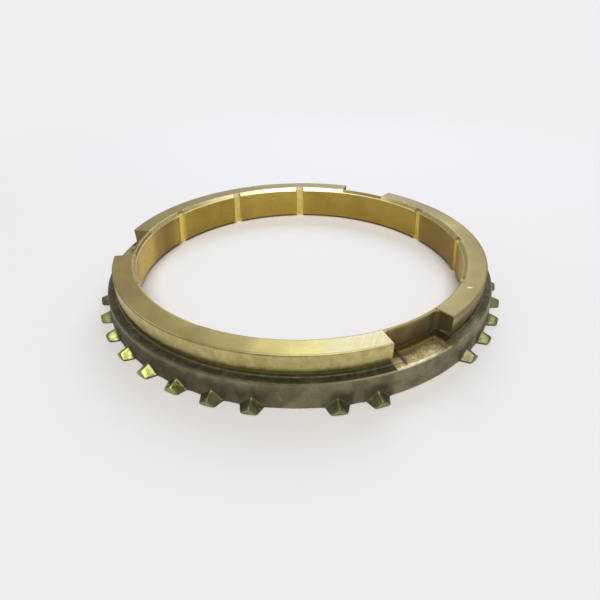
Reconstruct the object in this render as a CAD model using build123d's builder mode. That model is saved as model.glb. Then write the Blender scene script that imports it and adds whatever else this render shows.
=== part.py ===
from build123d import *
import os
from math import atan, cos, radians, sin, tan

# Synchronizer ring (blocker ring) of a manual gearbox: one brass forging, turned and slotted.
# The origin is on the ring's axis in the gear-side face, and +Z points to the hub side.
# Lengths are in millimetres and angles in degrees.

# Whole ring
ring_height = 13.6

# Collar, the hub-side cylinder that the three keys drive
collar_diameter = 120.0
collar_edge_break = 0.3
relief_width = 1.3
relief_depth = 0.7
shoulder_width = 0.45
shoulder_height = 0.25

# Flange, the forged rim that carries the teeth
flange_height = 7.25
flange_width = 2.6
flange_draft = 4.5
flange_edge_radius = 0.5
flange_foot_break = 0.25

# Friction cone, which opens towards the gear side
mouth_wall = 5.7
cone_half_angle = 6.5
mouth_chamfer = 1.3
hub_chamfer_width = 1.1
hub_chamfer_depth = 1.5

# Oil grooves across the friction cone
groove_pitch = 30.0
groove_width = 3.0
groove_depth = 1.4

# Key slots
slot_count = 3
first_slot_angle = 60.0
slot_angle = 18.9
slot_depth = 5.0
slot_corner_radius = 1.4
slot_wall_drop = 0.25
ledge_root_width = 2.35
ledge_end_width = 3.0
ledge_height = 0.35
gutter_width = 1.2
gutter_depth = 0.25

# Chamfered dog teeth round the flange
positions_per_sector = 13
missing_in_sector = (0, 9, 12)
tooth_length = 2.9
tooth_root_width = 6.0
tooth_tip_width = 4.0
ridge_root_height = 2.8
ridge_tip_height = 1.9
roof_half_angle = 52.5

# How far a cutter or a buried root runs past the face that it meets
overshoot = 1.0

# Worked out from the dimensions above
collar_radius = collar_diameter / 2
relief_radius = collar_radius - relief_depth
shoulder_radius = collar_radius + shoulder_width
flange_radius = collar_radius + flange_width
foot_radius = flange_radius + flange_height * tan(radians(flange_draft))
tip_radius = foot_radius + tooth_length
slot_root_radius = collar_radius - slot_depth
shoulder_level = flange_height + shoulder_height
relief_top = shoulder_level + relief_width
cone_slope = tan(radians(cone_half_angle))
mouth_radius = collar_radius - mouth_wall
throat_level = ring_height - hub_chamfer_depth
throat_radius = mouth_radius - (throat_level - mouth_chamfer) * cone_slope
sector_angle = 360.0 / slot_count
tooth_pitch = sector_angle / positions_per_sector
ridge_slope = atan((ridge_root_height - ridge_tip_height) / tooth_length)


def sector_prism(inner_radius, outer_radius, end_inset, bottom, corner_radius=0):
    # An upright block between two arcs and two radial ends, with its ends set in by end_inset
    inset = Vector(0, end_inset / cos(radians(slot_angle / 2)))
    with BuildPart() as block:
        with BuildSketch(Plane.XY.offset(bottom)):
            with BuildLine():
                low_ray = PolarLine((0, 0), outer_radius, -slot_angle / 2, mode=Mode.PRIVATE)
                high_ray = PolarLine((0, 0), outer_radius, slot_angle / 2, mode=Mode.PRIVATE)
                low_end = low_ray @ 1 + inset
                high_end = high_ray @ 1 - inset
                low_root = low_ray @ (inner_radius / outer_radius) + inset
                high_root = high_ray @ (inner_radius / outer_radius) - inset
                Line(low_root, low_end)
                ThreePointArc(low_end, (outer_radius, 0), high_end)
                Line(high_end, high_root)
                ThreePointArc(high_root, (inner_radius, 0), low_root)
            make_face()
            if corner_radius > 0:
                fillet(vertices().sort_by(Axis.X)[:2], corner_radius)
        extrude(amount=ring_height + overshoot - bottom)
    return block.part


# Turned blank: the section of the plain ring, revolved
with BuildPart() as ring:
    with BuildSketch(Plane.XZ) as section:
        with BuildLine():
            Polyline(
                (mouth_radius + mouth_chamfer, 0),
                (foot_radius, 0),
                (flange_radius, flange_height),
                (shoulder_radius, flange_height),
                (shoulder_radius, shoulder_level),
                (relief_radius, shoulder_level),
                (relief_radius, relief_top),
                (collar_radius, relief_top),
                (collar_radius, ring_height),
                (throat_radius + hub_chamfer_width, ring_height),
                (throat_radius, throat_level),
                (mouth_radius, mouth_chamfer),
                close=True,
            )
        make_face()
        fillet(section.vertices().sort_by_distance((flange_radius, flange_height))[0], flange_edge_radius)
        chamfer(section.vertices().sort_by_distance((foot_radius, 0))[0], flange_foot_break)
        chamfer(section.vertices().sort_by_distance((collar_radius, ring_height))[0], collar_edge_break)
    revolve(axis=Axis.Z)

# One dog tooth: a tapered block under a roof of two chamfers, whose ridge falls towards the tip
with BuildPart() as tooth:
    with BuildSketch(Plane.XY):
        with BuildLine():
            taper = (tooth_root_width - tooth_tip_width) / 2 / tooth_length
            buried = foot_radius - flange_radius + overshoot
            root_half = tooth_root_width / 2 + buried * taper
            Polyline(
                (foot_radius - buried, -root_half),
                (tip_radius, -tooth_tip_width / 2),
                (tip_radius, tooth_tip_width / 2),
                (foot_radius - buried, root_half),
                close=True,
            )
        make_face()
    extrude(amount=ridge_root_height + overshoot)
    ridge_plane = Plane(
        origin=(foot_radius, 0, ridge_root_height),
        x_dir=(0, 1, 0),
        z_dir=(cos(ridge_slope), 0, -sin(ridge_slope)),
    )
    with BuildSketch(ridge_plane):
        with BuildLine():
            roof_drop = ridge_root_height + 2 * overshoot
            roof_half = roof_drop * tan(radians(roof_half_angle))
            Polyline(
                (-roof_half, -roof_drop),
                (roof_half, -roof_drop),
                (0, 0),
                close=True,
            )
        make_face()
    extrude(amount=tooth_length + 2 * overshoot, both=True, mode=Mode.INTERSECT)

# One oil groove: its floor runs along the cone, groove_depth under the friction face
with BuildPart() as groove:
    with BuildSketch(Plane.XZ.offset(-groove_width / 2)):
        with BuildLine():
            floor_shift = groove_depth / cos(radians(cone_half_angle))
            low_floor = mouth_radius + floor_shift + (mouth_chamfer + overshoot) * cone_slope
            high_floor = throat_radius + floor_shift - (hub_chamfer_depth + overshoot) * cone_slope
            Polyline(
                (throat_radius - overshoot, -overshoot),
                (low_floor, -overshoot),
                (high_floor, ring_height + overshoot),
                (throat_radius - overshoot, ring_height + overshoot),
                close=True,
            )
        make_face()
    extrude(amount=groove_width)

# The cuts of one key slot, from the thin wall's top down to the as-forged floor
open_radius = tip_radius + overshoot
ledge_level = flange_height + ledge_height
wall_cut = sector_prism(throat_radius - overshoot, open_radius, 0, ring_height - slot_wall_drop)
ledge_cut = sector_prism(slot_root_radius, open_radius, 0, ledge_level, slot_corner_radius)
floor_cut = sector_prism(slot_root_radius + ledge_root_width, open_radius, ledge_end_width, flange_height)
gutter_cut = sector_prism(
    slot_root_radius,
    slot_root_radius + gutter_width,
    slot_corner_radius,
    flange_height - gutter_depth,
)

slot_angles = [first_slot_angle + sector_angle * i for i in range(slot_count)]
groove_angles = [
    groove_pitch * i
    for i in range(round(360 / groove_pitch))
    if all(abs((groove_pitch * i - a + 180) % 360 - 180) > slot_angle / 2 for a in slot_angles)
]
tooth_angles = [
    a + tooth_pitch * (k + 0.5)
    for a in slot_angles
    for k in range(positions_per_sector)
    if k not in missing_in_sector
]


def turned_to(angles):
    return Locations(*[Location((0, 0, 0), (0, 0, a)) for a in angles])


with ring:
    with turned_to(slot_angles):
        for cut in (wall_cut, ledge_cut, floor_cut, gutter_cut):
            add(cut, mode=Mode.SUBTRACT)
    with turned_to(groove_angles):
        add(groove.part, mode=Mode.SUBTRACT)
    with turned_to(tooth_angles):
        add(tooth.part)

os.makedirs("parts", exist_ok=True)
ring.part.label = "synchronizer_ring"
export_step(ring.part, "parts/synchronizer_ring.step")
print("solids", len(ring.part.solids()), "volume", round(ring.part.volume, 1))
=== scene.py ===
import math

import bmesh
import bpy
from mathutils import Matrix, Vector, noise


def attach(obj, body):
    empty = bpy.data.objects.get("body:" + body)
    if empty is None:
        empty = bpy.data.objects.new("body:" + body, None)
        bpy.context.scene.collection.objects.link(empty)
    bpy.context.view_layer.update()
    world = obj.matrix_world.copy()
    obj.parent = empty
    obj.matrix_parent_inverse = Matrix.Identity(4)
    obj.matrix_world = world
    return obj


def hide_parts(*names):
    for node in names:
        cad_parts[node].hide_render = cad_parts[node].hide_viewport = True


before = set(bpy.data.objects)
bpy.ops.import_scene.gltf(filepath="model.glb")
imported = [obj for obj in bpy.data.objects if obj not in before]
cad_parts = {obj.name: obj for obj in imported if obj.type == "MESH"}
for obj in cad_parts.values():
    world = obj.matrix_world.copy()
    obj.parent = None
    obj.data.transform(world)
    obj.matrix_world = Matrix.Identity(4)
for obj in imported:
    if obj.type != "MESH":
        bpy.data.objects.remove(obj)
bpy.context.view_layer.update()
print("frame loaded")

mm = 0.001

# Sizes in millimetres and degrees: the CAD part's own, and small roundings that it leaves to the scene
ringSizes = {
    "height": 13.6,
    "collar": 60.0,            # outside radius of the collar
    "collarEdge": 0.3,         # break of its top edge
    "relief": 59.3,            # radius at the bottom of the undercut
    "reliefTop": 8.8,
    "shoulder": 60.45,         # radius of the low step on the flange
    "shoulderTop": 7.5,
    "flangeTop": 7.25,
    "flange": 62.6,            # radius of the flange at its top
    "foot": 63.17,             # and at its foot
    "flangeRound": 0.5,
    "mouth": 54.3,             # cone radius just above the mouth chamfer
    "mouthChamfer": 1.3,
    "coneAngle": 6.5,
}
slotSizes = {
    "angles": (60.0, 180.0, 300.0),
    "width": 18.9,
    "radius": 57.7,            # lengths along a slot are measured at this radius
    "root": 55.0,
    "corner": 1.4,
    "top": 13.35,              # top of the thin wall that the slot leaves
    "ledge": 7.6,
    "ledgeEdge": 57.35,
    "ledgeEnd": 3.0,
    "ledgeStep": 0.12,         # length of the small slope at the ledge's end
    "gutterEdge": 56.2,
    "gutter": 7.0,
    "gutterStep": 0.2,
    "squeezeFrom": 57.1,       # from this radius in, the floor is squeezed against the rounded corners
    "endRound": 0.28,          # rounding of the collar's cut ends
    "endFace": 0.04,           # length in which the cut end drops to the floor
    "edgeReach": 0.2,          # from here in, the flange's top edge looks like the slot's floor
}
grooveSizes = {
    "angles": (0, 30, 90, 120, 150, 210, 240, 270, 330),
    "radius": 54.0,            # the groove's width is measured at this radius
    "halfWidth": 1.5,
    "depth": 1.41,
    "topDeeper": 0.12,         # how much deeper it is at the top face's inner edge
    "footDeeper": 0.1,         # and at the bottom face
    "leastShare": 0.12,        # share of the depth from which the surface looks like a groove
}
toothSizes = {
    "pitch": 120 / 13,
    "missing": (0, 9, 12),     # empty places in each third of the ring
    "tip": 66.07,
    "tipHalf": 2.0,
    "rootHalf": 3.0,
    "ridge": 2.8,
    "ridgeFall": 0.9,          # how much lower the ridge is at the tip
    "roofAngle": 52.5,         # half the roof's angle, measured square to the falling ridge
    "roofSlant": 1.047,        # so it is steeper upright: 1 over the cosine of the ridge's fall
    "tipRound": 0.42,
    "ridgeRound": 0.26,
    "flankRound": 0.3,
    "rootRound": 0.16,
    "wallHalf": 3.5,           # half the width of wall that belongs to a tooth
    "roofHalf": 3.02,          # half the width that looks like a tooth's roof
    "tipFaceHalf": 2.04,
}
toothAngles = [
    a + toothSizes["pitch"] * (k + 0.5)
    for a in slotSizes["angles"]
    for k in range(13)
    if k not in toothSizes["missing"]
]


def mixed(a, b, w):
    return a + (b - a) * w


def stepped(x, table):
    # straight lines between the (x, value) pairs of the table
    if x <= table[0][0]:
        return table[0][1]
    for (x0, v0), (x1, v1) in zip(table, table[1:]):
        if x <= x1:
            return mixed(v0, v1, (x - x0) / (x1 - x0))
    return table[-1][1]


def eased(x, low, high):
    t = min(max((x - low) / (high - low), 0), 1)
    return t * t * (3 - 2 * t)


def turnBetween(a, b):
    return (a - b + 180) % 360 - 180


def coneRadius(z):
    slope = math.tan(math.radians(ringSizes["coneAngle"]))
    return ringSizes["mouth"] - (z - ringSizes["mouthChamfer"]) * slope


def wallRadius(z):
    return mixed(ringSizes["foot"], ringSizes["flange"], z / ringSizes["flangeTop"])


def slotReach(azimuth):
    # how far inside a key slot this azimuth lies, in millimetres, below zero when outside
    away = min(abs(turnBetween(azimuth, a)) for a in slotSizes["angles"])
    return math.radians(slotSizes["width"] / 2 - away) * slotSizes["radius"]


def leadingEnd(azimuth):
    # true in the half of a key slot that lies further round the ring
    return min((turnBetween(azimuth, a) for a in slotSizes["angles"]), key=abs) > 0


def nearestTooth(azimuth):
    # that tooth's azimuth, and how far this azimuth lies to its side in millimetres
    centre = min(toothAngles, key=lambda a: abs(turnBetween(azimuth, a)))
    return centre, ringSizes["foot"] * math.sin(math.radians(turnBetween(azimuth, centre)))


# Share of the groove's depth against the distance from its middle: a flat floor and rounded edges
grooveEdge = ((-0.35, 1), (-0.14, 0.95), (-0.03, 0.84), (0.02, 0.1), (0.1, 0.02), (0.3, 0))
grooveShape = [(0, 1)] + [(grooveSizes["halfWidth"] + past, share) for past, share in grooveEdge]


def grooveShare(azimuth):
    away = min(abs(turnBetween(azimuth, a)) for a in grooveSizes["angles"])
    return stepped(math.radians(away) * grooveSizes["radius"], grooveShape)


# Flange wall and teeth of one column: (outward, height) pairs from the bottom face to the flange's edge
def wallChain(across):
    t, foot = toothSizes, ringSizes["foot"]
    a = abs(across)
    inTooth = a < t["wallHalf"]
    length = t["tip"] - foot
    fall = t["ridgeFall"] / length
    side = math.tan(math.radians(90 - t["roofAngle"])) * t["roofSlant"]

    def atWall(z):
        return math.sqrt(wallRadius(z) ** 2 - a * a) if inTooth else wallRadius(z)

    def roof(x):
        return t["ridge"] - fall * (x - foot) - side * math.hypot(a, t["ridgeRound"])

    # the flank and the wall meet in a small hollow
    past = a - t["tipHalf"]
    taper = length / (t["rootHalf"] - t["tipHalf"])
    flank = t["tip"] - taper * (past + math.hypot(past, t["flankRound"])) / 2
    wall = atWall(0.3)
    out = (wall + flank + math.hypot(wall - flank, t["rootRound"])) / 2 if inTooth else wall

    # beside the tooth the rows leave its roof and spread over the bare wall
    free = min(max((a - 2.9) / 1.4, 0), 1)
    tipTop = mixed(max(roof(out), 0.36), 1.0, free)
    root = mixed(max(roof(atWall(1.5)), tipTop + 0.08), 3.0, free)
    low = min(t["tipRound"], 0.45 * tipTop)
    soft = min(0.5, 0.4 * tipTop)
    chain = [(out - low, 0.0), (out - low * 0.3, low * 0.3)]
    chain += [(out, low), (out, (low + tipTop - soft) / 2)]
    if inTooth:
        back = atWall(root)
        slope = (root - tipTop) / max(out - back, 0.02)
        run = min(soft, (out - back) * 0.3)
        near = min(1, out - back)
        chain += [(out, tipTop - soft), (out - run * 0.3, tipTop - soft * 0.22)]
        chain.append((out - run, tipTop + run * slope))
        for w in (0.34, 0.66):
            x = mixed(out - run, back + 0.25 * near, w)
            chain.append((x, tipTop + (out - x) * slope))
        chain.append((back + 0.28 * near, root - 0.28 * slope * near))
        chain += [(back + 0.08 * near, root + 0.1), (atWall(root + 0.3), root + 0.3)]
    else:
        heights = [mixed(low, root + 0.3, w) for w in (0.3, 0.42, 0.54, 0.66, 0.76, 0.84, 0.92, 1.0)]
        chain += [(atWall(z), z) for z in heights]
    top = ringSizes["flangeTop"] - ringSizes["flangeRound"]
    chain += [(atWall(z), z) for z in (mixed(root + 0.3, top, w) for w in (0.34, 0.67))]

    # the rounded top edge of the flange
    r = ringSizes["flangeRound"]
    for turn in (0, 30, 60, 90):
        x = ringSizes["flange"] - r + 0.02 + r * math.cos(math.radians(turn))
        z = top + r * math.sin(math.radians(turn))
        chain.append((math.sqrt(x * x - a * a) if inTooth else x, z))
    return chain


# The flange's flat top and the low shoulder on it, from the outside in
def shoulderChain():
    f, h, r = ringSizes["flangeTop"], ringSizes["shoulderTop"], ringSizes["shoulder"]
    step = [(r + 0.2, f), (r + 0.05, f + 0.03), (r + 0.01, f + 0.1), (r - 0.03, h - 0.04)]
    return [(61.4, f)] + step + [(r - 0.15, h), (59.5, h)]


# Undercut, collar and top face; cut is the rounding at a slot's end
def collarChain(cut):
    s, r, h, e = ringSizes, ringSizes["relief"], ringSizes["shoulderTop"], ringSizes["collarEdge"]
    c, top, under = s["collar"] - cut, s["height"] - cut, s["reliefTop"] + cut * 0.6
    shares = (0.08, 0.16, 0.24, 0.34, 0.44, 0.54, 0.64, 0.74, 0.83, 0.91, 0.97)
    chain = shoulderChain() + [(r + 0.05, h + 0.02), (r, h + 0.08)]
    chain += [(r, mixed(h + 0.08, under - 0.06, w)) for w in shares]
    chain += [(r, under - 0.06), (r + 0.06, under), (c - 0.12, under), (c - 0.03, under + 0.04)]
    chain += [(c, under + 0.14), (c, 9.9), (c, 11.8)]
    chain += [(c, top - 2 * e), (c, top - e), (c - 0.3 * e, top - 0.3 * e), (c - e, top)]
    chain += [(c - 0.55, top), (57.8, top), (56.2, top), (54.5, top), (54.3, top - 0.02)]
    chain += [(54.12, s["height"] - 0.1 - cut * 0.5), (53.86, 13.18)]
    return chain


# The same stretch inside a key slot; reach is the distance from the slot's end
def slotChain(reach):
    s, f, h = slotSizes, ringSizes["flangeTop"], ringSizes["shoulderTop"]
    t = min(max(reach, 0), s["corner"])
    wall = s["root"] + s["corner"] - math.sqrt(s["corner"] ** 2 - (s["corner"] - t) ** 2)
    onLedge = stepped(reach, [(s["ledgeEnd"], 1), (s["ledgeEnd"] + s["ledgeStep"], 0)])
    inGutter = stepped(reach, [(s["corner"], 0), (s["corner"] + s["gutterStep"], 1)])
    ledge, deep = s["ledge"], mixed(s["ledge"], s["gutter"], inGutter)
    e, g = s["ledgeEdge"], s["gutterEdge"]
    ends = shoulderChain() + [(59.35, h + 0.03)] + [(x, ledge) for x in (59.2, 58.8, 58.2, 57.7, 57.3)]
    middle = [(x, f) for x in (61.4, 60.9, 60.4, 59.9, 59.3, 58.8, 58.3, 57.9, 57.6)]
    middle += [(e + 0.06, f + 0.02), (e, f + 0.1), (e - 0.05, ledge - 0.06), (e - 0.16, ledge)]
    chain = [(mixed(m[0], n[0], onLedge), mixed(m[1], n[1], onLedge)) for m, n in zip(middle, ends)]

    def across(r):
        return wall + (r - s["root"]) * (s["squeezeFrom"] - wall) / (s["squeezeFrom"] - s["root"])

    chain += [(across(56.85), ledge), (across(g + 0.15), ledge)]
    chain += [(across(g + 0.03), mixed(ledge, ledge - 0.06, inGutter))]
    chain += [(across(g - 0.06), mixed(ledge, s["gutter"] + 0.08, inGutter)), (across(g - 0.18), deep)]
    chain += [(across(55.5), deep), (across(55.25), deep), (wall + 0.06, deep + 0.08)]
    chain += [(wall, z) for z in (deep + 0.3, 9.1, 9.5, 10.2, 11.2, 12.0, 12.6, 13.0)]
    top = s["top"]
    chain += [(wall - 0.05, top - 0.14), (wall - 0.14, top - 0.04), (wall - 0.26, top)]
    chain += [(mixed(wall - 0.26, 54.2, w), top) for w in (0.35, 0.7)]
    chain += [(54.2, top - 0.01), (54.08, top - 0.04), (53.97, top - 0.12), (53.84, 13.13)]
    return chain


# Hub-side chamfer, friction cone and mouth chamfer where no groove crosses, then the bottom face
innerChain = [(53.45, 12.62), (53.15, 12.21), (53.08, 12.06)]
innerChain += [(coneRadius(z), z) for z in (11.85, 10.2, 8.2, 6.2, 4.2, 2.5, 1.5)]
innerChain += [(54.36, 1.24), (54.9, 0.7), (55.46, 0.14)]
bottomChain = [(55.7, 0.0), (58.4, 0.0), (61.0, 0.0)]

wallCount = len(wallChain(0.0))
upperCount = len(collarChain(0.0))
print("rows of the wall, the collar and the cone:", wallCount, upperCount, len(innerChain))


def upperChain(azimuth):
    reach, endRound, endFace = slotReach(azimuth), slotSizes["endRound"], slotSizes["endFace"]
    if reach <= 0:
        t = max(reach + endRound, 0)
        return collarChain(endRound - math.sqrt(endRound * endRound - t * t))
    if reach >= endFace:
        return slotChain(reach)
    w = reach / endFace
    pairs = zip(collarChain(endRound), slotChain(endFace))
    return [(mixed(p[0], q[0], w), mixed(p[1], q[1], w)) for p, q in pairs]


def columnAt(azimuth):
    # the closed section of the ring at one azimuth, as points in the ring's frame
    centre, across = nearestTooth(azimuth)
    a = math.radians(azimuth)
    if abs(across) < toothSizes["wallHalf"]:
        c, s = math.cos(math.radians(centre)), math.sin(math.radians(centre))
        points = [Vector((x * c - across * s, x * s + across * c, z)) for x, z in wallChain(across)]
    else:
        points = [Vector((x * math.cos(a), x * math.sin(a), z)) for x, z in wallChain(across)]
    # an oil groove runs from the top face's inner edge down through the mouth chamfer
    share = grooveShare(azimuth)
    section = upperChain(azimuth) + innerChain + bottomChain
    firstRow, lastRow = upperCount - 4, len(section) - 3
    deeper = {firstRow: grooveSizes["topDeeper"], lastRow: grooveSizes["footDeeper"]}
    for i, (r, z) in enumerate(section):
        if share > 0 and i >= firstRow:
            floor = coneRadius(z) + grooveSizes["depth"] + deeper.get(i, 0)
            r = mixed(r, max(r, floor), share)
        points.append(Vector((r * math.cos(a), r * math.sin(a), z)))
    return points


# Where columns of points stand: close together where the form turns, further apart between
columnPlaces = {
    "tooth": (0, 0.14, 0.4, 1.1, 1.75, 1.93, 2.04, 2.2, 2.6, 2.88, 3.02, 3.2, 3.49),
    "groove": [across for across, share in grooveShape],
    "slot": (
        -0.8, -0.28, -0.2, -0.12, -0.05, 0, 0.04, 0.1, 0.25, 0.5, 0.9, 1.4, 1.6, 2.3, 3.0, 3.12, 3.8,
    ),
    "leastTurn": 0.012,        # degrees
    "mostTurn": 1.3,
}


def columnAzimuths():
    half = slotSizes["width"] / 2
    toothTurns = [math.degrees(math.asin(x / ringSizes["foot"])) for x in columnPlaces["tooth"]]
    grooveTurns = [math.degrees(x / grooveSizes["radius"]) for x in columnPlaces["groove"]]
    slotTurns = [half - math.degrees(x / slotSizes["radius"]) for x in columnPlaces["slot"]]
    found = set()
    for centres, turns in (
        (toothAngles, toothTurns), (grooveSizes["angles"], grooveTurns), (slotSizes["angles"], slotTurns)
    ):
        found.update(centre + side * turn for centre in centres for turn in turns for side in (1, -1))
    ordered = sorted({round(a % 360, 4) for a in found})
    kept = [ordered[0]]
    for a in ordered[1:]:
        if a - kept[-1] > columnPlaces["leastTurn"]:
            kept.append(a)
    filled = []
    for a, b in zip(kept, kept[1:] + [kept[0] + 360]):
        parts = max(1, math.ceil((b - a) / columnPlaces["mostTurn"]))
        filled += [a + (b - a) * k / parts for k in range(parts)]
    return filled


finishOrder = [
    "topFace", "collarWall", "frictionCone", "oilGroove", "hubChamfer", "forgedFlange", "flangeTop",
    "undercut", "slotWall", "slotLand", "slotFloor", "slotLedge", "toothRoof", "toothTip", "underside",
]

# The last row of each finish: on a tooth from its bottom edge, elsewhere from the flange's top edge
finishRows = {
    "toothTip": 4, "toothRoof": 9,
    "flangeTop": 5, "undercut": 21, "collarWall": 29, "topFace": upperCount - 3,
    "slotFloor": 8, "slotLedge": 19, "slotWall": 29,
    "shadedEnd": 1,              # last row of the slot's floor that stays pale at its leading end; past it the darker ledge finish is painted shadow
}


def onFlangeRound(row):
    # the rounded top edge of the flange
    return wallCount - 4 < row < wallCount


def finishAt(row, azimuth):
    # the finish of the face between this row and the next
    reach, rows = slotReach(azimuth), finishRows
    u = row - wallCount
    if row < wallCount - 1:
        across = abs(nearestTooth(azimuth)[1])
        if onFlangeRound(row) and reach > slotSizes["edgeReach"]:
            return "slotFloor"
        if across > toothSizes["roofHalf"] or row > rows["toothRoof"]:
            return "forgedFlange"
        onTip = across < toothSizes["tipFaceHalf"] and row <= rows["toothTip"]
        return "toothTip" if onTip else "toothRoof"
    if reach > 0 and u < upperCount:
        if reach > slotSizes["endFace"] and u > rows["slotWall"]:
            return "slotLand"
        if reach < slotSizes["endFace"] or u > rows["slotLedge"]:
            return "slotWall"
        ledgeEnd = slotSizes["ledgeEnd"]
        # the step's face and the floor's leading end take the darker ledge finish as painted shade
        stepFace = ledgeEnd < reach < ledgeEnd + slotSizes["ledgeStep"]
        shadedEnd = leadingEnd(azimuth) and reach < ledgeEnd and u > rows["shadedEnd"]
        return "slotLedge" if u > rows["slotFloor"] or stepFace or shadedEnd else "slotFloor"
    for finish in ("flangeTop", "undercut", "collarWall", "topFace"):
        if u <= rows[finish]:
            return finish
    if u <= upperCount:
        return "hubChamfer"
    if u < upperCount + len(innerChain):
        return "oilGroove" if grooveShare(azimuth) > grooveSizes["leastShare"] else "frictionCone"
    return "underside"


dipDepths = {
    "forgedFlange": 0.05, "slotFloor": 0.06, "slotLedge": 0.04, "slotWall": 0.03, "flangeTop": 0.01,
}


def roughened(point, row, azimuth):
    # forged skin: small dips, never outwards past the CAD box
    depth = dipDepths.get(finishAt(row, azimuth), 0)
    if depth == 0:
        return point
    dip = depth * (0.5 + 0.5 * noise.noise(point * 0.55) + 0.35 * noise.noise(point * 1.6))
    outward = Vector((point.x, point.y, 0)).normalized()
    if row < wallCount - 2:
        return point - outward * dip if point.z > 0.4 else point
    return point - Vector((0, 0, dip))


# Painted highlights and painted shade of each finish, on the sides of the ring that catch more or less
# light: strength, azimuth of the middle, and where the place starts
# and where it is full, both as shares: 1 is at that azimuth, 0 on the far side of the ring
paintedHighlightPlaces = {
    "topFace": [(0.7, 286, 0.97, 0.998)],
    "oilGroove": [(0.95, 0, 0.97, 0.995), (0.95, 150, 0.97, 0.995)],
    "frictionCone": [(0.8, 177, 0.97, 0.998), (0.55, 101, 0.95, 1)],
}
# painted shade on the sides of the ring that catch less light
paintedShadePlaces = {
    "forgedFlange": [(0.14, 281, 0.985, 0.998)],
    "flangeTop": [(0.85, 342, 0.935, 0.985), (0.92, 225, 0.2, 0.7)],
    "undercut": [(0.3, 225, 0.2, 0.7)],
    "collarWall": [(0.7, 350, 0.72, 0.98)],
    "topFace": [
        (0.7, 332, 0.85, 0.97), (0.8, 54, 0.85, 0.95), (1.0, 195, 0.93, 0.99), (0.55, 249, 0.989, 0.998),
    ],
    "hubChamfer": [(0.8, 172, 0.8, 0.96), (0.9, 5, 0.78, 0.92)],
    "frictionCone": [(0.65, 12, 0.96, 0.99), (0.6, 163, 0.992, 0.999)],
}
# Teeth by their azimuth in whole degrees: how much painted shade the dull ones take, and how much painted
# highlight the bright ones
shadedTeeth = {
    194: 0.75, 212: 0.3, 249: 0.7, 258: 0.85, 277: 0.8, 286: 0.75, 314: 1.0, 323: 0.9,
    332: 0.55, 342: 0.5, 351: 0.5,
}
litTeeth = {203: 0.9, 212: 0.55, 231: 0.6, 332: 0.8, 342: 0.9, 351: 0.8}


def around(azimuth, centre, low, high):
    # 1 on the side of the ring that faces centre, fading to 0 away from it
    return eased(0.5 + 0.5 * math.cos(math.radians(azimuth - centre)), low, high)


def strongest(places, azimuth):
    return max((strength * around(azimuth, *place) for strength, *place in places), default=0)


def toothShare(teeth, azimuth):
    return teeth.get(round(nearestTooth(azimuth)[0] % 360), 0)


def paintedHighlightAt(row, azimuth):
    # painted highlights on teeth, the flange's rim, the cone and a few other places, 0 to 1
    finish = finishAt(row, azimuth)
    if finish in ("toothRoof", "toothTip"):
        return toothShare(litTeeth, azimuth)
    # a painted highlight along the flange's rounded rim at the front
    if onFlangeRound(row):
        return 0.9 * around(azimuth, 287, 0.965, 0.992)
    return strongest(paintedHighlightPlaces.get(finish, ()), azimuth)


def outerLine(azimuth):
    # the dark line along the top face's outer edge, painted lighter at the front where the edge catches the
    # light
    return 0.66 - 0.26 * around(azimuth, 290, 0.96, 0.99)


def flangeShade(point, azimuth):
    # painted shade: a dark halo round each tooth, the darker left side and a darker rim above it
    across = abs(nearestTooth(azimuth)[1])
    cloud = min(max(0.8 + 0.6 * noise.noise(point * 0.3), 0.4), 1)
    halo = 0.85 * (1 - eased(across, 3.0, 5.4)) * (1 - eased(point.z, 3.6, 6.2)) * cloud
    left = 0.8 * around(azimuth, 205, 0.6, 0.97) * (1 - eased(point.z, 6.2, 6.9))
    rim = 0.7 * around(azimuth, 225, 0.62, 0.92) * eased(point.z, 6.7, 6.95)
    return max(halo, left, rim)


def slotFloorShade(out, reach, leading):
    # painted shadow, with some dirt, along the foot of the ledge's step, and wide over the floor's leading
    # end
    inner = 1 - eased(out, 61.0, 62.2)
    if leading:
        end = max(1 - eased(reach, 0.1, 1.2), 0.75 * (1 - eased(reach, 1.5, 3.4)))
        return max(inner * (1 - eased(reach, 2.8, 3.2)), end)
    return max(0.9 * inner * (1 - eased(abs(reach - 3.05), 0.1, 0.7)), 0.4 * (1 - eased(reach, 0.1, 3.0)))


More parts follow.
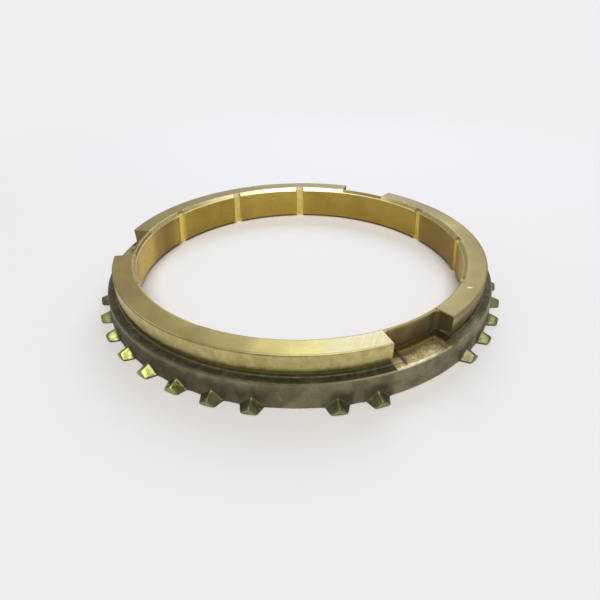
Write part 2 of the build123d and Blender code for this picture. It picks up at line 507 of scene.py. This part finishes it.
def shadeAndStainAt(point, row, azimuth):
    # where painted shade and some dirt lie, 0 to 1
    s, finish, reach = ringSizes, finishAt(row, azimuth), slotReach(azimuth)
    out, z = math.hypot(point.x, point.y), point.z
    if finish in ("toothRoof", "toothTip"):
        return toothShare(shadedTeeth, azimuth)
    if finish == "flangeTop" and z > s["shoulderTop"] - 0.1:
        return 0.74            # the thin line of the shoulder's top, painted darker
    marks = [strongest(paintedShadePlaces.get(finish, ()), azimuth)]
    if finish == "forgedFlange":
        marks.append(flangeShade(point, azimuth))
    if finish == "flangeTop":
        # painted shade: the dark line at the shoulder's foot
        marks.append(1 - eased(out, s["shoulder"] + 0.05, s["shoulder"] + 0.45))
    if finish == "undercut":
        # painted shade under the collar, and from the shoulder's edge inwards
        marks.append(0.7 * eased(z, s["reliefTop"] - 0.3, s["reliefTop"] - 0.1))
        if z < s["shoulderTop"] + 0.1:
            marks.append(0.9 * (1 - eased(out, s["shoulder"] - 0.2, s["shoulder"] - 0.03)))
    if finish == "collarWall":
        # painted shade low on the right of the front and along the foot, and the top edge's dark line
        marks.append(around(azimuth, 324, 0.93, 0.985) * (1 - eased(z, 9.6, 13.0)))
        marks.append(0.5 * (1 - eased(z, s["reliefTop"] + 0.1, s["reliefTop"] + 0.8)))
        marks.append(outerLine(azimuth) if z > s["height"] - 0.4 else 0)
    if finish == "topFace" and out < 54.4:
        # painted shade on the inner edge at the right
        marks.append(0.9 * around(azimuth, 3, 0.94, 0.985))
    if finish == "hubChamfer" and reach > 0.1:
        marks.append(0.9)      # inside the key slots
    if finish == "slotWall":
        # painted shade low on the wall and in the slot's corners
        marks.append(0.8 * (1 - eased(z, 7.4, 11.0)))
        marks.append((0.9 if leadingEnd(azimuth) else 0.4) * (1 - eased(reach, 0.3, 2.4)))
    if finish in ("slotFloor", "slotLedge"):
        marks.append(slotFloorShade(out, reach, leadingEnd(azimuth)))
    return max(marks)


def ringMesh(name):
    azimuths = columnAzimuths()
    mesh = bpy.data.meshes.new(name)
    bm = bmesh.new()
    wearAndHighlight = bm.verts.layers.float.new("wearAndHighlight")
    hollow = bm.verts.layers.float.new("hollow")
    columns = []
    for a in azimuths:
        column = []
        for i, p in enumerate(columnAt(a)):
            vertex = bm.verts.new(roughened(p, i, a) * mm)
            vertex[hollow] = shadeAndStainAt(p, i, a)
            vertex[wearAndHighlight] = paintedHighlightAt(i, a)
            column.append(vertex)
        columns.append(column)
    count = len(columns[0])
    for c, column in enumerate(columns):
        follow = columns[(c + 1) % len(columns)]
        nextAzimuth = azimuths[(c + 1) % len(columns)] + (360 if c + 1 == len(columns) else 0)
        middle = (azimuths[c] + nextAzimuth) / 2
        for i in range(count):
            j = (i + 1) % count
            face = bm.faces.new((column[i], follow[i], follow[j], column[j]))
            face.material_index = finishOrder.index(finishAt(i, middle))
            face.smooth = True
    bmesh.ops.remove_doubles(bm, verts=bm.verts, dist=1e-7)
    bmesh.ops.delete(bm, geom=[v for v in bm.verts if not v.link_faces], context="VERTS")
    openEdges = sum(1 for e in bm.edges if len(e.link_faces) != 2)
    print("edges that aren't shared by two faces:", openEdges)
    bmesh.ops.recalc_face_normals(bm, faces=bm.faces)
    paintEdges(bm, wearAndHighlight, hollow)
    bm.to_mesh(mesh)
    bm.free()
    return mesh


def paintEdges(bm, wearAndHighlight, hollow):
    # adds sharp edges, worn and partly painted as highlights, to the worn places and painted highlights
    # (wear), and concave corners, as painted shade, to the stains and painted shade (hollow)
    bm.normal_update()
    bm.verts.index_update()
    least, most = 0.12, 1.1    # turns between faces, in radians, that count not at all and in full
    edges, corners = [], []
    for v in bm.verts:
        turns = [e.calc_face_angle_signed(0.0) for e in v.link_edges if len(e.link_faces) == 2]
        edges.append(min(sum(max(turn - least, 0) for turn in turns) / most, 1))
        corners.append(min(sum(max(-turn - least, 0) for turn in turns) / most, 1))
    edges = spreadOut(bm, edges)
    corners = spreadOut(bm, spreadOut(bm, corners))
    for v in bm.verts:
        v[wearAndHighlight] = max(edges[v.index] * (1 - v[hollow]), v[wearAndHighlight])
        # painted shade in concave corners
        v[hollow] = max(corners[v.index], v[hollow])


def spreadOut(bm, values):
    # every point takes something of its neighbours
    spread = []
    for v in bm.verts:
        near = [values[e.other_vert(v).index] for e in v.link_edges]
        spread.append(max(values[v.index] * 0.85, sum(near) / len(near)))
    return spread


ringObject = bpy.data.objects.new("ring_body", ringMesh("ring_body"))
bpy.context.scene.collection.objects.link(ringObject)
print("ring mesh:", len(ringObject.data.vertices), "points,", len(ringObject.data.polygons), "faces")


# Shader building

def addNode(tree, kind, settings=None, **inputs):
    # inputs are given by name, or as i0, i1 and so on by number
    node = tree.nodes.new(kind)
    for key, value in (settings or {}).items():
        setattr(node, key, value)
    for key, value in inputs.items():
        numbered = key[0] == "i" and key[1:].isdigit()
        socket = node.inputs[int(key[1:])] if numbered else node.inputs[key.replace("_", " ")]
        if isinstance(value, bpy.types.NodeSocket):
            tree.links.new(value, socket)
        else:
            socket.default_value = value
    return node


def newGroup(name, inputs, outputs):
    tree = bpy.data.node_groups.new(name, "ShaderNodeTree")
    for label, value in inputs.items():
        socket = tree.interface.new_socket(label, in_out="INPUT", socket_type="NodeSocketFloat")
        socket.default_value = value
    for label in outputs:
        tree.interface.new_socket(label, in_out="OUTPUT", socket_type="NodeSocketFloat")
    return tree, tree.nodes.new("NodeGroupInput"), tree.nodes.new("NodeGroupOutput")


def mathNode(tree, operation, a, b=0.0, clamp=False):
    kind = {"operation": operation, "use_clamp": clamp}
    return addNode(tree, "ShaderNodeMath", kind, i0=a, i1=b).outputs[0]


def vectorNode(tree, operation, a, b=(0, 0, 0)):
    return addNode(tree, "ShaderNodeVectorMath", {"operation": operation}, i0=a, i1=b).outputs


def remapped(tree, value, low, high, toLow=0.0, toHigh=1.0):
    smooth = {"interpolation_type": "SMOOTHSTEP"}
    ends = {"i1": low, "i2": high, "i3": toLow, "i4": toHigh}
    return addNode(tree, "ShaderNodeMapRange", smooth, i0=value, **ends).outputs[0]


def cloudNoise(tree, place, scale, detail, roughness=0.5, distortion=0.0):
    shape = {"Detail": detail, "Roughness": roughness, "Distortion": distortion}
    return addNode(tree, "ShaderNodeTexNoise", Vector=place, Scale=scale, **shape).outputs[0]


def lineNoise(tree, along, detail, roughness=0.5):
    # noise along one length only
    shape = {"Scale": 1.0, "Detail": detail, "Roughness": roughness}
    return addNode(tree, "ShaderNodeTexNoise", {"noise_dimensions": "1D"}, W=along, **shape).outputs[0]


def objectPlace(tree):
    return addNode(tree, "ShaderNodeTexCoord").outputs["Object"]


def perSize(tree, size):
    # a noise scale per metre, from a size in millimetres
    return mathNode(tree, "DIVIDE", 1 / mm, size)


# Fine lathe lines: round the axis on a face (Upright 0), or round a cylinder or cone (Upright 1)
def turningMarksGroup():
    tree, given, out = newGroup("turning marks", {"Lines per mm": 3.0, "Upright": 0.0}, ["Lines"])
    x, y, z = addNode(tree, "ShaderNodeSeparateXYZ", i0=objectPlace(tree)).outputs
    squares = mathNode(tree, "ADD", mathNode(tree, "MULTIPLY", x, x), mathNode(tree, "MULTIPLY", y, y))
    radius = mathNode(tree, "SQRT", squares)
    along = addNode(tree, "ShaderNodeMix", i0=given.outputs["Upright"], i2=radius, i3=z).outputs[0]
    inMillimetres = mathNode(tree, "MULTIPLY", along, 1 / mm)
    counted = mathNode(tree, "MULTIPLY", inMillimetres, given.outputs["Lines per mm"])
    tree.links.new(lineNoise(tree, counted, 2.0, 0.6), out.inputs["Lines"])
    return tree


# Forged or cast skin: grain, soft patches and small pits
def forgedSkinGroup():
    tree, given, out = newGroup(
        "forged skin", {"Grain size": 0.5, "Patch size": 4.0}, ["Grain", "Patches", "Pits"]
    )
    place = objectPlace(tree)
    grainScale = perSize(tree, given.outputs["Grain size"])
    patchScale = perSize(tree, given.outputs["Patch size"])
    patches = cloudNoise(tree, place, patchScale, 5.0, 0.6, 0.4)
    spots = addNode(tree, "ShaderNodeTexVoronoi", Vector=place, Scale=grainScale).outputs[0]
    tree.links.new(cloudNoise(tree, place, grainScale, 4.0, 0.65), out.inputs["Grain"])
    tree.links.new(remapped(tree, patches, 0.36, 0.64), out.inputs["Patches"])
    tree.links.new(remapped(tree, spots, 0.28, 0.08), out.inputs["Pits"])
    return tree


# A value painted on the mesh, broken up by noise; least is what the noise leaves of it
def paintedMaskGroup(name, attribute, low, high, least):
    tree, given, out = newGroup(name, {"Amount": 1.0, "Breakup size": 1.5}, ["Mask"])
    painted = addNode(tree, "ShaderNodeAttribute", {"attribute_name": attribute}).outputs["Fac"]
    painted = remapped(tree, painted, low, high)
    cloud = cloudNoise(tree, objectPlace(tree), perSize(tree, given.outputs["Breakup size"]), 4.0, 0.6)
    broken = mathNode(tree, "MULTIPLY", painted, remapped(tree, cloud, 0.3, 0.6, least, 1.0))
    amount = mathNode(tree, "MULTIPLY", broken, given.outputs["Amount"], clamp=True)
    tree.links.new(amount, out.inputs["Mask"])
    return tree


# A few thin scratches in all directions
def fineScratchesGroup():
    tree, given, out = newGroup("fine scratches", {"Size": 3.0, "Share": 0.45}, ["Mask"])
    place, scale = objectPlace(tree), perSize(tree, given.outputs["Size"])
    course = cloudNoise(tree, place, scale, 1.5, distortion=1.6)
    away = mathNode(tree, "ABSOLUTE", mathNode(tree, "SUBTRACT", course, 0.5))
    line = remapped(tree, away, 0.012, 0.0)
    cloud = cloudNoise(tree, place, mathNode(tree, "MULTIPLY", scale, 2.3), 2.0)
    least = mathNode(tree, "SUBTRACT", 1.0, given.outputs["Share"])
    most = mathNode(tree, "ADD", least, 0.08)
    kept = addNode(tree, "ShaderNodeMapRange", i0=cloud, i1=least, i2=most).outputs[0]
    tree.links.new(mathNode(tree, "MULTIPLY", line, kept), out.inputs["Mask"])
    return tree


turningMarks = turningMarksGroup()
forgedSkin = forgedSkinGroup()
fineScratches = fineScratchesGroup()
# worn edges and painted highlights, from the wear layer
wearAndHighlightMask = paintedMaskGroup("worn edges and painted highlights", "wearAndHighlight", 0.25, 0.95, 0.6)
# dirt and painted shade, from the hollow layer
dirtAndShadeMask = paintedMaskGroup("dirt and painted shade", "hollow", 0.0, 1.0, 0.88)


def spotMask(tree, spot):
    # 1 at one place on the ring, fading to 0 at the spot's own size; both in millimetres
    away = vectorNode(tree, "SUBTRACT", objectPlace(tree), [v * mm for v in spot["at"]])[0]
    away = vectorNode(tree, "DIVIDE", away, [v * mm for v in spot["size"]])[0]
    return remapped(tree, vectorNode(tree, "LENGTH", away)["Value"], 1.0, 0.25)


def linear(r, g, b):
    return [((c / 255 + 0.055) / 1.055) ** 2.4 if c > 10 else c / 255 / 12.92 for c in (r, g, b)] + [1.0]


# What a finish has where it says nothing else
plainBrass = {
    "roughness": 0.4,
    "spread": 0.1,             # how far the grain takes the roughness up and down
    "anisotropy": 0.0,         # above 0, highlights stretch along the lathe lines
    "film": 0.0,               # a trace of oil over the metal
    "filmRough": 0.3,
    "wearAndHighlight": 0.5,               # how much of the colour edge shows on worn edges and painted highlights
    "edgeRough": 0.0,          # roughness added there
    "wearAndHighlightBreakup": 1.2,        # size of the gaps in them, in millimetres
    "grimeAndShade": 0.8,              # how much of the colour dirt lies in stained places and painted shade
    "dirtAndShadeRough": 0.2,          # roughness added there
    "dirtAndShadeDull": 0.55,          # share of the metal's shine taken away in dirt and painted shade
    "dirtAndShadeBreakup": 1.6,        # millimetres
    "upright": 0.0,            # 0 for lathe lines on a face, 1 for lines round a wall
    "grain": 0.6,              # sizes of the skin's grain and patches, in millimetres
    "patch": 4.0,
    "pits": 0.1,               # how dark the pits are
    "pitDepth": 0.6,           # against the bumps of the skin
    "skinBump": 0.02,
    "bumpDepth": 0.12,         # millimetres, for lines and skin
    "scratchSize": 3.4,        # millimetres
    "scratchShare": 0.47,      # how many of them stay
    "scratchTone": 0.55,
}

# Each finish of the ring: colours as the eye sees them, 0 to 255, then the surface, the lathe lines and
# the skin. Scratch is the colour of thin scratches, nick one bright dent, streaks are cutter marks; a
# finish without the colour line has no lathe lines
finishes = {
    "topFace": {
        "light": (149, 135, 73), "dark": (134, 119, 60), "line": (168, 155, 106),
        "edge": (152, 144, 114), "dirtAndShade": (104, 86, 44),
        "roughness": 0.38, "anisotropy": 0.72, "film": 0.2, "wearAndHighlight": 1.0, "grimeAndShade": 0.5,
        "lines": 2.6, "lineTone": 0.35, "lineBump": 0.1,
        "patch": 9.0, "pits": 0.15,
        # the nick: bare metal of a small dent, with its glint painted in
        "nick": {"at": (46.75, -32.25, 13.6), "size": (1.25, 0.55, 0.5), "colour": (238, 228, 192)},
        "streaks": {
            "at": (14.5, -55.5, 13.6), "size": (9.5, 7.0, 2.0), "spacing": 0.65,
            "across": (0.94, -0.34, 0), "colour": (118, 98, 56), "tone": 0.75,
        },
    },
    "collarWall": {
        "light": (206, 194, 134), "dark": (184, 165, 108), "line": (206, 194, 140),
        "edge": (196, 184, 130), "dirtAndShade": (66, 54, 26), "scratch": (226, 218, 170),
        "roughness": 0.42, "spread": 0.12, "anisotropy": 0.4, "wearAndHighlight": 0.9, "grimeAndShade": 0.9,
        "upright": 1.0, "lines": 2.2, "lineTone": 0.3, "lineBump": 0.1,
        "grain": 0.55, "patch": 3.2, "pits": 0.5, "skinBump": 0.06,
    },
    "frictionCone": {
        "light": (172, 148, 72), "dark": (156, 130, 54), "line": (182, 158, 86),
        "edge": (220, 194, 100), "dirtAndShade": (120, 94, 36),
        "spread": 0.08, "anisotropy": 0.5, "wearAndHighlight": 0.8,
        "upright": 1.0, "lines": 1.9, "lineTone": 0.35, "lineBump": 0.14,
        "grain": 0.7, "patch": 12.0,
    },
    "oilGroove": {
        # pale colours stand in partly for the light that falls into the grooves
        "light": (230, 213, 124), "dark": (216, 198, 108), "line": (230, 216, 136),
        "edge": (255, 240, 168), "dirtAndShade": (196, 176, 96),
        "roughness": 0.38, "wearAndHighlight": 0.75, "grimeAndShade": 0.25,
        "upright": 1.0, "lines": 1.2, "lineTone": 0.1, "lineBump": 0.05,
        "skinBump": 0.05,
    },
    "hubChamfer": {
        # pale colours paint in part of the highlight that the chamfer catches at the back
        "light": (242, 232, 184), "dark": (228, 216, 162), "line": (244, 234, 188),
        "edge": (240, 230, 184), "dirtAndShade": (132, 113, 64),
        "roughness": 0.36, "spread": 0.08, "anisotropy": 0.5, "wearAndHighlight": 0.8, "grimeAndShade": 0.9,
        "upright": 1.0, "lines": 2.4, "lineTone": 0.3, "lineBump": 0.06,
        "patch": 7.0,
    },
    "forgedFlange": {
        "light": (137, 130, 101), "dark": (107, 100, 75), "line": (142, 132, 104),
        "edge": (158, 150, 116), "dirtAndShade": (47, 39, 23), "scratch": (186, 178, 146),
        "roughness": 0.5, "spread": 0.16, "wearAndHighlight": 0.9, "edgeRough": 0.2, "grimeAndShade": 0.9,
        "upright": 1.0, "lines": 1.4, "lineTone": 0.25, "lineBump": 0.06,
        "grain": 0.55, "patch": 5.5, "pits": 0.35, "skinBump": 0.24,
    },
    "flangeTop": {
        "light": (184, 180, 150), "dark": (172, 168, 136), "line": (172, 168, 140),
        "edge": (124, 120, 86), "dirtAndShade": (38, 33, 5), "scratch": (150, 144, 112),
        "roughness": 0.44, "spread": 0.08, "anisotropy": 0.3, "grimeAndShade": 1.0,
        "lines": 2.0, "lineTone": 0.25, "lineBump": 0.08,
        "pits": 0.0, "skinBump": 0.04,
    },
    "undercut": {
        "light": (176, 164, 98), "dark": (152, 140, 74), "line": (176, 164, 98),
        "edge": (72, 64, 28), "dirtAndShade": (82, 75, 10),
        "roughness": 0.42, "spread": 0.06, "grimeAndShade": 0.95,
        "upright": 1.0, "lines": 2.5, "lineTone": 0.2, "lineBump": 0.08,
        "pits": 0.0, "skinBump": 0.03,
    },
    "slotWall": {
        "light": (152, 136, 98), "dark": (132, 116, 80),
        "edge": (128, 110, 62), "dirtAndShade": (72, 58, 30),
        "roughness": 0.46, "spread": 0.14,
        "grain": 0.5, "patch": 3.0, "pits": 0.3, "skinBump": 0.16,
    },
    "slotLand": {
        "light": (132, 116, 66), "dark": (118, 102, 54), "line": (112, 100, 62),
        "edge": (84, 70, 36), "dirtAndShade": (90, 74, 36),
        "roughness": 0.42, "spread": 0.12, "anisotropy": 0.3, "grimeAndShade": 0.3,
        "lines": 2.0, "lineTone": 0.2, "lineBump": 0.08,
        "grain": 0.5, "patch": 3.0, "pits": 0.2, "skinBump": 0.08,
    },
    "slotFloor": {
        "light": (156, 139, 98), "dark": (128, 112, 75),
        "edge": (226, 214, 176), "dirtAndShade": (70, 56, 28), "scratch": (226, 216, 184),
        "spread": 0.24, "wearAndHighlight": 0.8,
        "patch": 1.6, "pits": 0.5, "skinBump": 0.4,
    },
    "slotLedge": {
        "light": (132, 114, 62), "dark": (104, 86, 40),
        "edge": (150, 134, 72), "dirtAndShade": (38, 30, 10),
        "roughness": 0.42, "spread": 0.16, "wearAndHighlight": 0.7, "grimeAndShade": 1.0,
        "patch": 2.0, "pits": 0.4, "skinBump": 0.3,
    },
    "toothRoof": {
        "light": (110, 112, 58), "dark": (72, 74, 40),
        "edge": (146, 155, 104), "dirtAndShade": (71, 66, 52),
        "roughness": 0.22, "spread": 0.14, "grimeAndShade": 0.6,
        "grain": 0.5, "patch": 1.3, "pits": 0.2, "skinBump": 0.12,
    },
    "toothTip": {
        # the tip face is painted lighter than the roof, standing in for the light it catches
        "light": (164, 166, 120), "dark": (130, 132, 92),
        "edge": (150, 152, 122), "dirtAndShade": (122, 121, 92),
        "roughness": 0.36, "spread": 0.16, "wearAndHighlight": 0.6,
        "grain": 0.5, "patch": 1.3, "pits": 0.3, "skinBump": 0.14,
    },
    "underside": {
        "light": (192, 174, 116), "dark": (172, 152, 94), "line": (204, 188, 134),
        "edge": (150, 132, 80), "dirtAndShade": (96, 78, 38),
        "roughness": 0.38, "anisotropy": 0.5, "grimeAndShade": 0.7,
        "lines": 2.0, "lineTone": 0.35, "lineBump": 0.12,
        "patch": 8.0, "pits": 0.2,
    },
}


def brassFinish(name, look):
    material = bpy.data.materials.new(name)
    material.use_nodes = True
    tree = material.node_tree
    tree.nodes.clear()

    def group(groupTree, **inputs):
        return addNode(tree, "ShaderNodeGroup", {"node_tree": groupTree}, **inputs).outputs

    def times(a, b):
        return mathNode(tree, "MULTIPLY", a, b)

    def tinted(base, over, amount):
        node = addNode(tree, "ShaderNodeMix", {"data_type": "RGBA"}, i0=amount, i7=linear(*over))
        if isinstance(base, bpy.types.NodeSocket):
            tree.links.new(base, node.inputs[6])
        else:
            node.inputs[6].default_value = linear(*base)
        return node.outputs[2]

    skin = group(forgedSkin, Grain_size=look["grain"], Patch_size=look["patch"])
    wornAndLit = group(wearAndHighlightMask, Amount=look["wearAndHighlight"], Breakup_size=look["wearAndHighlightBreakup"])["Mask"]
    dirtAndShade = group(dirtAndShadeMask, Amount=look["grimeAndShade"], Breakup_size=look["dirtAndShadeBreakup"])["Mask"]

    colour = tinted(look["dark"], look["light"], skin["Patches"])
    height = times(skin["Grain"], look["skinBump"])
    if "line" in look:
        lines = group(turningMarks, Lines_per_mm=look["lines"], Upright=look["upright"])["Lines"]
        colour = tinted(colour, look["line"], times(lines, look["lineTone"]))
        height = mathNode(tree, "ADD", times(lines, look["lineBump"]), height)
    colour = tinted(colour, look["dirtAndShade"], times(skin["Pits"], look["pits"]))
    if "scratch" in look:
        scratches = group(fineScratches, Size=look["scratchSize"], Share=look["scratchShare"])["Mask"]
        colour = tinted(colour, look["scratch"], times(scratches, look["scratchTone"]))
    if "nick" in look:
        colour = tinted(colour, look["nick"]["colour"], spotMask(tree, look["nick"]))
    if "streaks" in look:
        across = Vector(look["streaks"]["across"]) / (look["streaks"]["spacing"] * mm)
        along = vectorNode(tree, "DOT_PRODUCT", objectPlace(tree), across)["Value"]
        cuts = remapped(tree, lineNoise(tree, along, 1.0), 0.42, 0.62)
        streaks = times(cuts, spotMask(tree, look["streaks"]))
        colour = tinted(colour, look["streaks"]["colour"], times(streaks, look["streaks"]["tone"]))
    # worn edges and painted highlights take the colour edge
    colour = tinted(colour, look["edge"], wornAndLit)
    # stains and painted shade take the colour dirt
    colour = tinted(colour, look["dirtAndShade"], dirtAndShade)

    rough = times(mathNode(tree, "SUBTRACT", skin["Grain"], 0.5), look["spread"] * 2)
    rough = mathNode(tree, "ADD", rough, look["roughness"])
    rough = mathNode(tree, "ADD", rough, times(dirtAndShade, look["dirtAndShadeRough"]))
    rough = mathNode(tree, "ADD", rough, times(wornAndLit, look["edgeRough"]), clamp=True)

    height = mathNode(tree, "SUBTRACT", height, times(skin["Pits"], look["skinBump"] * look["pitDepth"]))
    depth = look["bumpDepth"] * mm
    bump = addNode(tree, "ShaderNodeBump", Height=height, Strength=1.0, Distance=depth).outputs[0]

    metal = mathNode(tree, "SUBTRACT", 1.0, times(dirtAndShade, look["dirtAndShadeDull"]))
    sockets = {"Base_Color": colour, "Roughness": rough, "Normal": bump, "Metallic": metal}
    shader = addNode(tree, "ShaderNodeBsdfPrincipled", **sockets)
    shader.inputs["Coat Weight"].default_value = look["film"]
    shader.inputs["Coat Roughness"].default_value = look["filmRough"]
    if look["anisotropy"] > 0:
        shader.inputs["Anisotropic"].default_value = look["anisotropy"]
        tangent = addNode(tree, "ShaderNodeTangent", {"direction_type": "RADIAL", "axis": "Z"}).outputs[0]
        tree.links.new(tangent, shader.inputs["Tangent"])
    surface = addNode(tree, "ShaderNodeOutputMaterial")
    tree.links.new(shader.outputs[0], surface.inputs["Surface"])
    return material


for finishName in finishOrder:
    ringObject.data.materials.append(brassFinish(finishName, {**plainBrass, **finishes[finishName]}))
weighted = ringObject.modifiers.new("even shading", "WEIGHTED_NORMAL")
weighted.weight = 60
weighted.keep_sharp = True
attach(ringObject, "root")
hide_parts("synchronizer_ring")
print("ring finished")


# Pale floor under an even pale sky; far from the ring it fades into the same pale background
studio = {
    "floorRadius": 2.4,        # metres
    "floorColour": (0.83, 0.83, 0.84),
    "skyColour": (0.86, 0.865, 0.88),
    "fadeFrom": 0.1,           # metres from the ring's axis
    "fadeTo": 0.36,
    "fill": 0.36,              # strength of the sky for matte surfaces
}


def seenRays(tree):
    # 1 for what the camera, mirrors and glass see, 0 for what lights matte surfaces
    path = addNode(tree, "ShaderNodeLightPath").outputs
    seen = mathNode(tree, "MAXIMUM", path["Is Camera Ray"], path["Is Glossy Ray"])
    return mathNode(tree, "MAXIMUM", seen, path["Is Transmission Ray"])


def paleFloor():
    mesh = bpy.data.meshes.new("studio_floor")
    bm = bmesh.new()
    bmesh.ops.create_circle(bm, cap_ends=True, segments=96, radius=studio["floorRadius"])
    bm.to_mesh(mesh)
    bm.free()
    floor = bpy.data.objects.new("studio_floor", mesh)
    bpy.context.scene.collection.objects.link(floor)
    floor.location.z = -0.02 * mm    # just clear of the ring's underside
    material = bpy.data.materials.new("pale floor")
    material.use_nodes = True
    tree = material.node_tree
    tree.nodes.clear()
    matte = addNode(tree, "ShaderNodeBsdfPrincipled", Base_Color=(*studio["floorColour"], 1), Roughness=0.9)
    matte.inputs["Specular IOR Level"].default_value = 0.1
    plain = addNode(tree, "ShaderNodeEmission", Color=(*studio["skyColour"], 1), Strength=1.0)
    away = vectorNode(tree, "LENGTH", objectPlace(tree))["Value"]
    fade = remapped(tree, away, studio["fadeFrom"], studio["fadeTo"])
    fade = mathNode(tree, "MULTIPLY", fade, seenRays(tree))
    blend = addNode(tree, "ShaderNodeMixShader", i0=fade, i1=matte.outputs[0], i2=plain.outputs[0])
    surface = addNode(tree, "ShaderNodeOutputMaterial")
    tree.links.new(blend.outputs[0], surface.inputs["Surface"])
    mesh.materials.append(material)


def paleSky():
    world = bpy.data.worlds.new("studio")
    bpy.context.scene.world = world
    world.use_nodes = True
    tree = world.node_tree
    tree.nodes.clear()
    strength = addNode(tree, "ShaderNodeMix", i0=seenRays(tree), i2=studio["fill"], i3=1.0).outputs[0]
    background = addNode(tree, "ShaderNodeBackground", Color=(*studio["skyColour"], 1), Strength=strength)
    surface = addNode(tree, "ShaderNodeOutputWorld")
    tree.links.new(background.outputs[0], surface.inputs["Surface"])


paleFloor()
paleSky()


# Soft boxes: place and size in metres, power in watts, each aimed at the ring
lamps = {
    "softboxBehind": {
        "at": (0.12, 0.56, 0.50), "size": 0.46, "power": 2.05, "colour": (0.88, 0.96, 1.14),
    },
    "softboxOverhead": {
        "at": (-0.03, -0.76, 1.41), "size": 0.90, "power": 16.0, "colour": (1.04, 1.0, 0.93),
    },
}


def softBox(name, lamp):
    data = bpy.data.lights.new(name, "AREA")
    data.shape = "DISK"
    data.size = lamp["size"]
    data.energy = lamp["power"]
    data.color = lamp["colour"]
    light = bpy.data.objects.new(name, data)
    bpy.context.scene.collection.objects.link(light)
    light.location = lamp["at"]
    light.rotation_euler = (-light.location).to_track_quat("-Z", "Y").to_euler()


for lampName, lamp in lamps.items():
    softBox(lampName, lamp)
print("studio lit")


# The camera stands where the photograph was taken from
view = {
    "frame": 600,              # pixels
    "focal": 433.74,           # in pixels of that frame
    "distance": 2.4511,        # with side and up, in collar radii
    "side": -0.05879,
    "up": 0.3374,
    "elevation": 33.144,
    "roll": 0.175,
    "turn": 1.977,             # how far the ring is turned round its axis
    "centre": (11.44, -0.36),  # where the lens's axis meets the frame: pixels right of and below its middle
    "sensor": 36,              # millimetres
}


def photoCamera():
    e, r = math.radians(view["elevation"]), math.radians(view["roll"])
    right = Vector((1, 0, 0))
    up = Vector((0, math.sin(e), math.cos(e)))
    ahead = Vector((0, math.cos(e), -math.sin(e)))
    toMetres = ringSizes["collar"] * mm
    place = -(right * view["side"] + up * view["up"] + ahead * view["distance"]) * toMetres
    place.z += ringSizes["height"] * mm
    tiltedRight = right * math.cos(r) + up * math.sin(r)
    tiltedUp = up * math.cos(r) - right * math.sin(r)
    axes = Matrix((tiltedRight, tiltedUp, -ahead)).transposed().to_4x4()
    data = bpy.data.cameras.new("photo camera")
    data.sensor_width = view["sensor"]
    data.lens = view["sensor"] * view["focal"] / view["frame"]
    data.shift_x = -view["centre"][0] / view["frame"]
    data.shift_y = view["centre"][1] / view["frame"]
    data.clip_start = 0.005
    data.clip_end = 20
    camera = bpy.data.objects.new("photo camera", data)
    bpy.context.scene.collection.objects.link(camera)
    turn = Matrix.Rotation(math.radians(-view["turn"]), 4, "Z")
    camera.matrix_world = turn @ Matrix.Translation(place) @ axes
    bpy.context.scene.camera = camera


photoCamera()
bpy.context.scene.view_settings.view_transform = "Standard"
